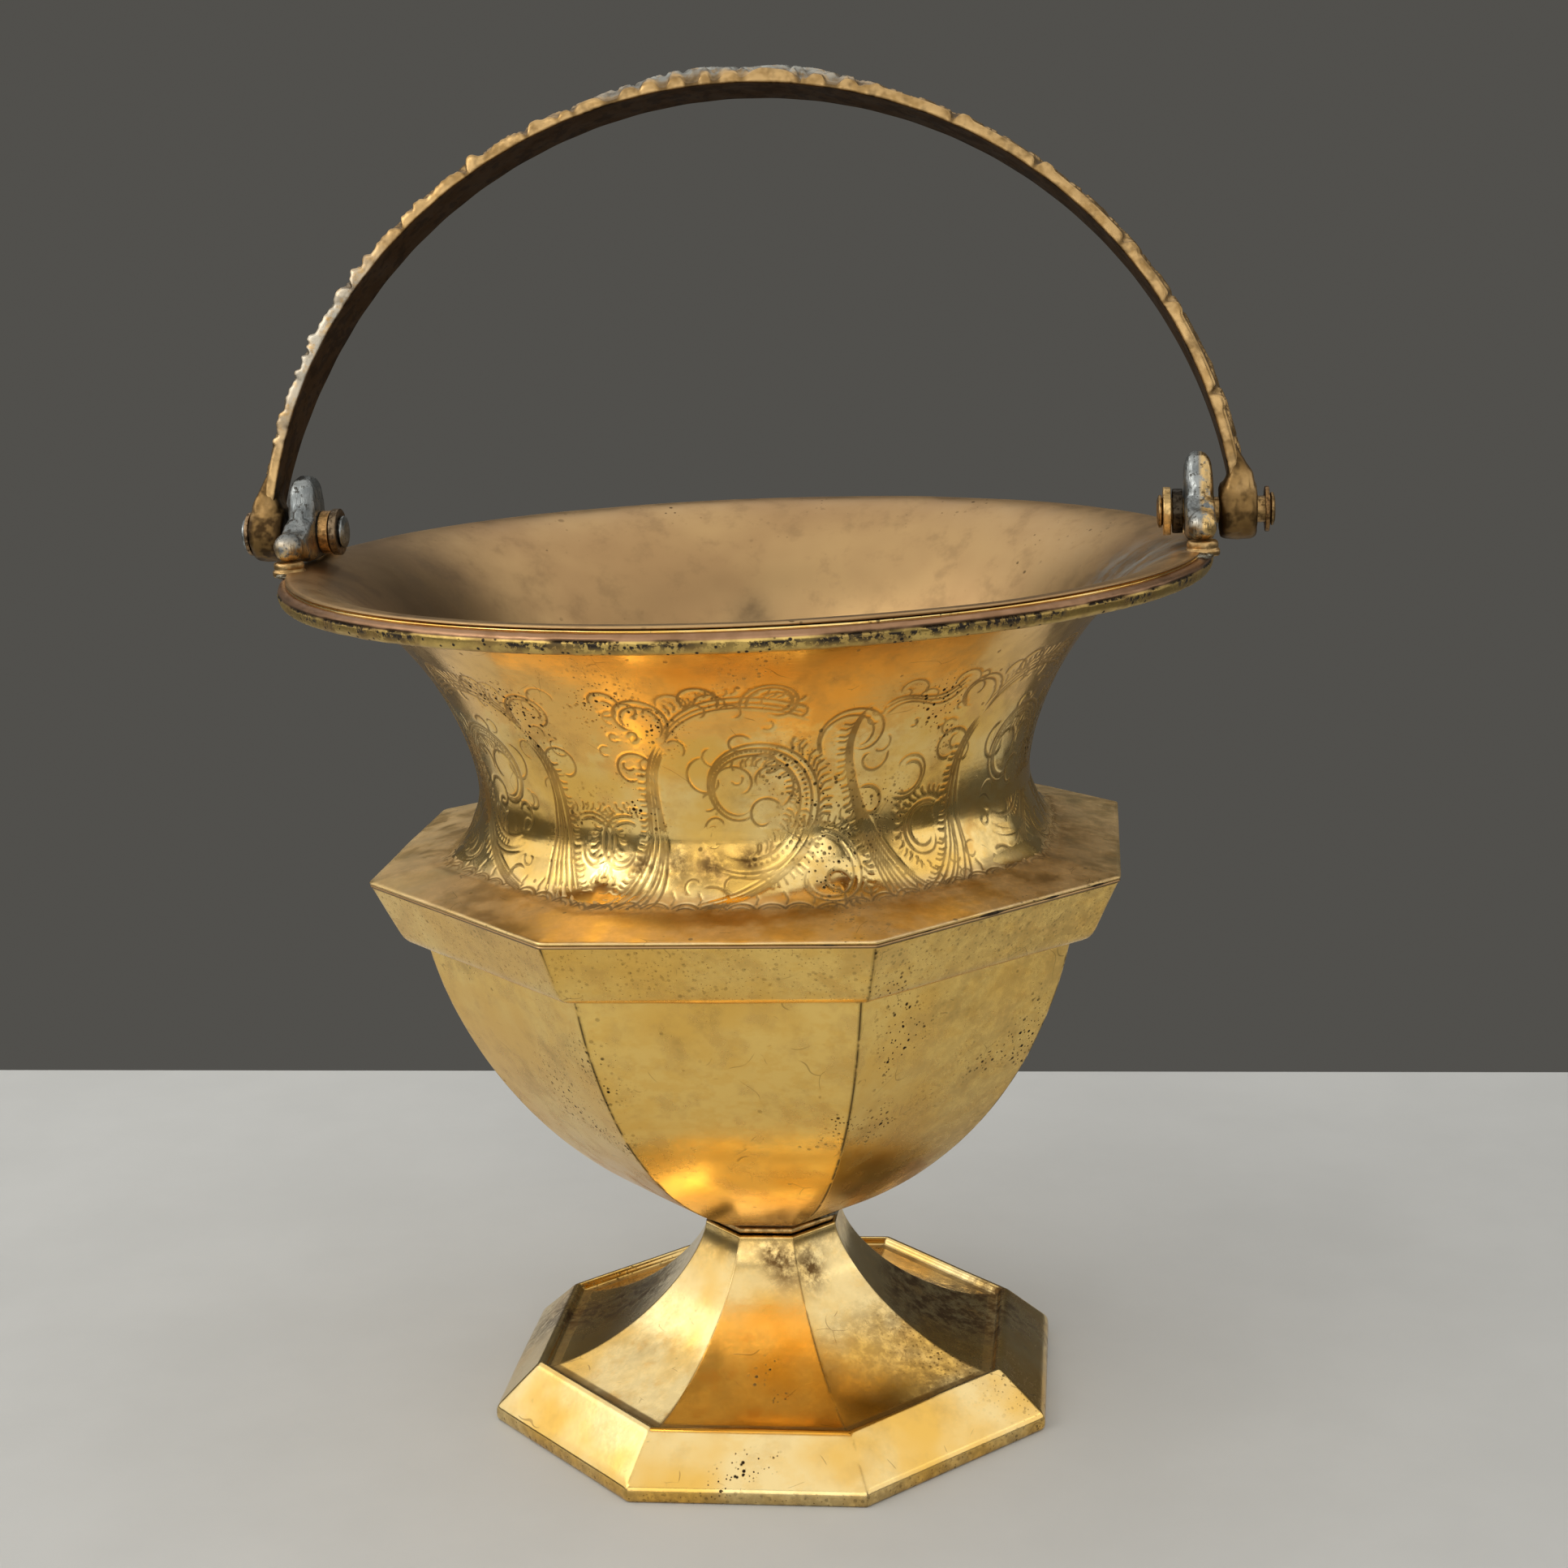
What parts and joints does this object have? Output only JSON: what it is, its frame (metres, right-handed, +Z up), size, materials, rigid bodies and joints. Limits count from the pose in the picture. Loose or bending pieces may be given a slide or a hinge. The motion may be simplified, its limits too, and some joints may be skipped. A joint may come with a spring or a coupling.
{
  "type": "pedestal basket",
  "caption": "Octagonal footed metal basket with a round flared mouth, an engraved neck and a swinging arched bail handle.",
  "frame": {"origin": "on the table under the centre of the foot, with the basket upright and its bail raised", "axes": "+Z up; X along the bail's pivot axis; -Y the front. The bail leans back towards +Y at rest"},
  "size_m": [0.2242, 0.2, 0.2956],
  "materials": {
    "gilt_brass": "worn polished gilt over brass, with patina and pits",
    "rim_brass": "pitted copper-toned brass",
    "cast_brass": "satin cast brass, dark in the recesses",
    "worn_plate": "worn silver plate with file marks, brass showing through",
    "dark_brass": "dull tarnished brass",
    "solder": "dull grey tin solder"
  },
  "bodies": {
    "basket": {"foot_shell": "gilt_brass", "stem_collar": "dark_brass", "collar_solder": "solder", "lower_bowl": "gilt_brass", "shoulder_solder": "solder", "upper_body": "gilt_brass", "rim_bead": "rim_brass", "left_ear": "worn_plate", "left_front_pad": "cast_brass", "left_rear_pad": "cast_brass", "left_outer_washer": "dark_brass", "left_bush": "cast_brass", "left_rove": "dark_brass", "left_rivet": "worn_plate", "right_ear": "worn_plate", "right_front_pad": "cast_brass", "right_rear_pad": "cast_brass", "right_outer_washer": "dark_brass", "right_bush": "cast_brass", "right_rove": "dark_brass", "right_rivet": "worn_plate"},
    "bail": {"bail_handle": "cast_brass"}
  },
  "joints": [
    {"name": "bail_swing", "type": "hinge", "parent": "basket", "child": "bail", "pos_m": [0, 0, 0.1995], "axis": [1, 0, 0], "range_deg": [-76, 100]}
  ]
}
